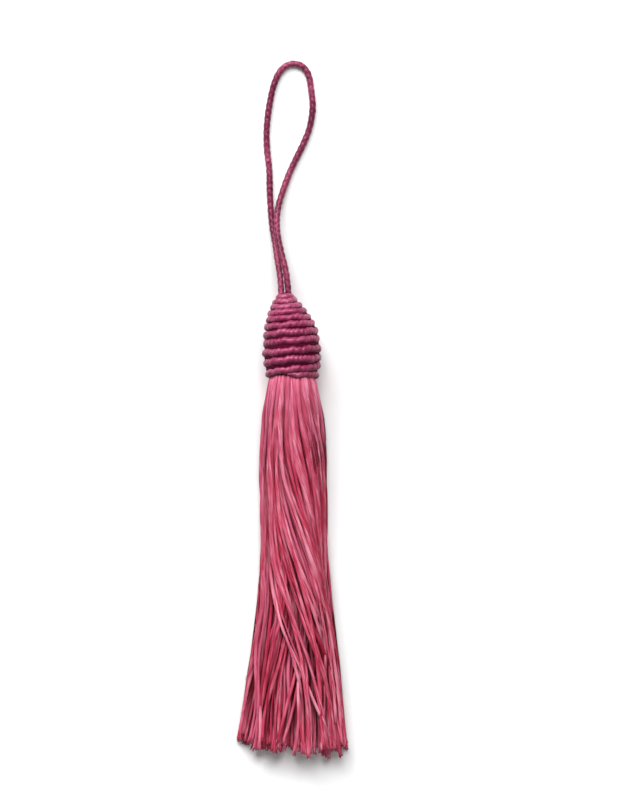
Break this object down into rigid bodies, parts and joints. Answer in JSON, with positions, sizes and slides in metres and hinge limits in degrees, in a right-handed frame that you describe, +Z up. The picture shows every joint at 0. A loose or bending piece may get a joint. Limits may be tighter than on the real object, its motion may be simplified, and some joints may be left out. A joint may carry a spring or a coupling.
{
  "type": "hanging tassel",
  "caption": "Hanging tassel lying on its back: egg-shaped head wound with cord, long yarn skirt fanning out to its cut ends, and a twisted cord loop.",
  "frame": {"origin": "on the surface that the tassel lies on, under the middle of its head and skirt together", "axes": "+Y from the cut ends of the skirt to the hanging loop, +Z up from the surface"},
  "size_m": [0.0266, 0.1778, 0.0149],
  "materials": {
    "wound_cord": "satin",
    "rayon_yarn": "satin",
    "loop_cord": "satin"
  },
  "bodies": {
    "root": {"head": "wound_cord", "skirt": "rayon_yarn", "hanging_loop": "loop_cord"}
  },
  "joints": []
}
